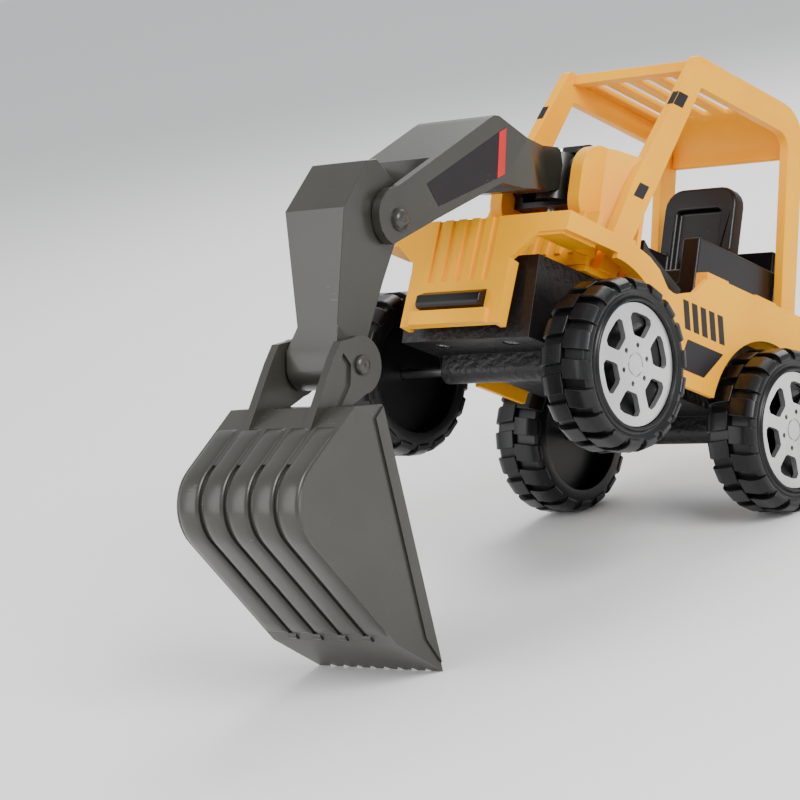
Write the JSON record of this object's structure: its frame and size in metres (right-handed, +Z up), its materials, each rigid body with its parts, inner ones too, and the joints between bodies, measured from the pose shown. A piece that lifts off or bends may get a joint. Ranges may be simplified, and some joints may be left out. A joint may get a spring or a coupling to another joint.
{
  "type": "toy backhoe loader",
  "caption": "Toy digger with a yellow open-cab truck body, a slotted roof and an excavator arm on its nose, standing on its rear wheels and the teeth of its bucket.",
  "frame": {"origin": "centre of the bounding box in X and Y, on the surface that the rear wheels and the bucket teeth stand on", "axes": "+X to the toy's left, -Y to its front, +Z up; the body is pitched nose-up as it stands on its bucket"},
  "size_m": [0.108, 0.2746, 0.1509],
  "materials": {
    "yellow_plastic": "glossy moulded, slightly translucent at the edges",
    "dark_grey_plastic": "satin moulded olive grey",
    "black_plastic": "satin moulded black",
    "black_tyre": "hard shiny black, moulded tread",
    "silver_disc": "silver coated",
    "steel": "plain drawn wire",
    "printed_film": "printed film"
  },
  "bodies": {
    "root": {"chassis": "black_plastic", "chassis_screws": "steel", "body_shell": "yellow_plastic", "bumper_lamp": "black_plastic", "cab_frame": "yellow_plastic", "roof_panel": "yellow_plastic", "seat": "black_plastic", "cockpit_tub": "black_plastic", "dash": "black_plastic", "rear_box": "black_plastic", "side_stickers": "printed_film", "pillar_stickers": "printed_film", "lift_pins": "steel"},
    "front_wheelset": {"front_axle": "steel", "tyre_front_left": "black_tyre", "tyre_front_right": "black_tyre", "disc_front_left": "silver_disc", "disc_front_right": "silver_disc"},
    "rear_wheelset": {"rear_axle": "steel", "tyre_rear_left": "black_tyre", "tyre_rear_right": "black_tyre", "disc_rear_left": "silver_disc", "disc_rear_right": "silver_disc"},
    "knuckle": {"knuckle": "black_plastic", "swing_pin": "silver_disc"},
    "boom": {"boom": "dark_grey_plastic", "boom_stickers": "printed_film"},
    "dipper": {"dipper": "dark_grey_plastic", "elbow_pin": "dark_grey_plastic", "wrist_pin": "dark_grey_plastic"},
    "bucket": {"bucket": "dark_grey_plastic"}
  },
  "joints": [
    {"name": "front_wheels_spin", "type": "hinge", "parent": "root", "child": "front_wheelset", "pos_m": [0, -0.01029, 0.07028], "axis": [1, 0, 0], "continuous": true},
    {"name": "rear_wheels_spin", "type": "hinge", "parent": "root", "child": "rear_wheelset", "pos_m": [0, 0.06633, 0.027], "axis": [1, 0, 0], "continuous": true},
    {"name": "boom_lift", "type": "hinge", "parent": "root", "child": "knuckle", "pos_m": [0, 0.03475, 0.12156], "axis": [-1, 0, 0], "range_deg": [-5, 40]},
    {"name": "boom_swing", "type": "hinge", "parent": "knuckle", "child": "boom", "pos_m": [0, 0.03475, 0.12156], "axis": [0, 0.4918, 0.8707], "range_deg": [-22, 22]},
    {"name": "elbow", "type": "hinge", "parent": "boom", "child": "dipper", "pos_m": [0, -0.06117, 0.13004], "axis": [-1, 0, 0], "range_deg": [-20, 50]},
    {"name": "bucket_curl", "type": "hinge", "parent": "dipper", "child": "bucket", "pos_m": [0, -0.08882, 0.0929], "axis": [-1, 0, 0], "range_deg": [-35, 60]}
  ]
}
